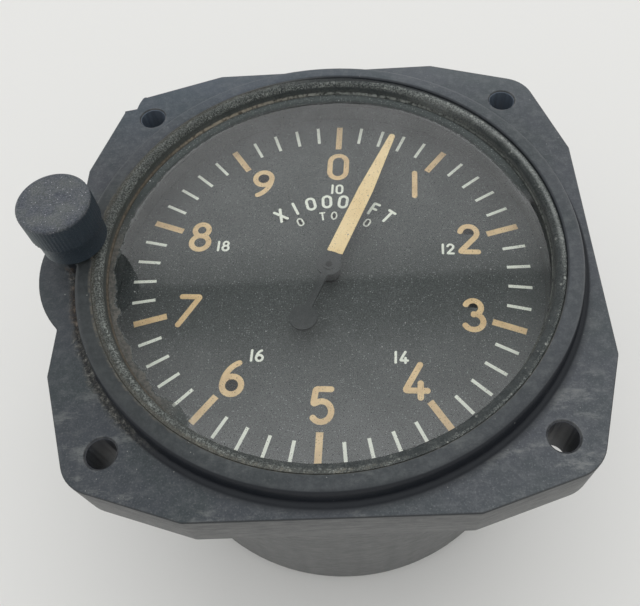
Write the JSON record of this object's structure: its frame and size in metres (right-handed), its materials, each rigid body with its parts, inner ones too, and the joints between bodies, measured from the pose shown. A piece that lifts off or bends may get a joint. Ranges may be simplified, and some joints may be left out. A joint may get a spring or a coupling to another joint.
{
  "type": "altimeter",
  "caption": "Panel altimeter: square-flanged moulded case, round glass, numbered dial turned by a ribbed side knob, one pointer, and an aneroid capsule movement inside.",
  "frame": {"origin": "centre of the four panel screw holes, on the flange's front face", "axes": "+Z out of the dial towards the viewer, +Y the case's twelve o'clock, +X its three o'clock"},
  "size_m": [0.0873, 0.0826, 0.0699],
  "materials": {
    "case": "matte moulded phenolic, smudged and dusty",
    "knob": "matte moulded, finely pitted, straight ribs",
    "ring": "worn dark paint, brown at the edges",
    "spacer": "flat dark paint",
    "dial": "flat charcoal paint with tan and white markings",
    "pointer": "aged tan paint on the blade, black on hub and tail",
    "glass": "clear, dusty, lightly scratched",
    "rubber": "matte",
    "brass": "dull, slightly tarnished",
    "alloy": "turned, satin",
    "steel": "ground",
    "capsule": "thin rolled bronze, satin"
  },
  "bodies": {
    "root": {"case_shell": "case", "retaining_ring": "ring", "glass": "glass", "glass_gasket": "rubber", "spacer_ring": "spacer", "static_port_insert": "brass", "port_nut": "brass", "movement_screws": "steel", "knob_bushing": "brass", "shaft_packing": "rubber", "base_plate": "alloy", "long_pillars": "alloy", "pillar_screws": "steel", "train_plate": "brass", "short_pillars": "alloy", "top_plate": "brass", "top_screws": "steel", "friction_washer": "steel", "staff_bushes": "brass", "arbor_bushes": "brass", "rocker_brackets": "brass", "bracket_screws": "steel", "hairspring": "steel", "hairspring_stud": "brass", "capsule_stud": "brass", "capsule_nut": "brass", "aneroid_capsules": "capsule"},
    "dial": {"dial": "dial", "dial_wheel": "alloy", "dial_feet": "alloy"},
    "knob": {"knob": "knob", "knob_shaft": "steel", "knob_pinion": "brass", "knob_setscrew": "steel", "shaft_clip": "steel"},
    "pointer": {"pointer": "pointer", "pointer_hub": "dial", "pointer_staff": "steel", "staff_pinion": "brass", "hairspring_collet": "brass"},
    "intermediate": {"intermediate_wheel": "brass", "intermediate_pinion": "steel", "intermediate_arbor": "steel"},
    "sector": {"sector_gear": "brass", "sector_arbor": "steel", "sector_pin": "steel"},
    "rocker": {"rocking_shaft": "steel", "drive_arm_plate": "brass", "lift_arm_plate": "brass", "bimetal_strip": "steel", "balance_weight": "brass", "lift_pin": "steel"},
    "link": {"link": "steel"},
    "capsule_top": {"capsule_hub": "brass", "hub_pin": "steel"}
  },
  "joints": [
    {"name": "dial_turn", "type": "hinge", "parent": "root", "child": "dial", "pos_m": [0, 0, -0.0077], "axis": [0, 0, 1], "continuous": true},
    {"name": "knob_turn", "type": "hinge", "parent": "root", "child": "knob", "pos_m": [-0.03942, 0.0025, 0], "axis": [0, 0, 1], "continuous": true},
    {"name": "pointer_turn", "type": "hinge", "parent": "root", "child": "pointer", "pos_m": [0, 0, -0.01], "axis": [0, 0, 1], "range_deg": [-700.66, 55.54], "stiffness_Nm_per_rad": 0.0003},
    {"name": "intermediate_turn", "type": "hinge", "parent": "root", "child": "intermediate", "pos_m": [-0.00721, 0.012, -0.017], "axis": [0, 0, 1], "range_deg": [-13.88, 175.16]},
    {"name": "sector_turn", "type": "hinge", "parent": "root", "child": "sector", "pos_m": [-0.012, -0.007, -0.02], "axis": [0, 0, 1], "range_deg": [-29.21, 2.33]},
    {"name": "rocker_turn", "type": "hinge", "parent": "root", "child": "rocker", "pos_m": [0, -0.007, -0.03], "axis": [1, 0, 0], "range_deg": [-2.33, 29.21]},
    {"name": "link_turn", "type": "hinge", "parent": "rocker", "child": "link", "pos_m": [0, -0.0002, -0.03163], "axis": [1, 0, 0], "range_deg": [-29.21, 2.33]},
    {"name": "capsule_rise", "type": "slide", "parent": "root", "child": "capsule_top", "axis": [0, 0, 1], "range_m": [-0.00028, 0.00353], "deforming": ["aneroid_capsules"]}
  ],
  "couplings": [
    {"joint": "knob_turn", "follows": "dial_turn", "ratio": -7.7778},
    {"joint": "pointer_turn", "follows": "capsule_rise", "rad_per_m": -3466.7},
    {"joint": "intermediate_turn", "follows": "capsule_rise", "rad_per_m": 866.68},
    {"joint": "sector_turn", "follows": "capsule_rise", "rad_per_m": -144.45},
    {"joint": "rocker_turn", "follows": "capsule_rise", "rad_per_m": 144.45},
    {"joint": "link_turn", "follows": "capsule_rise", "rad_per_m": -144.45}
  ]
}
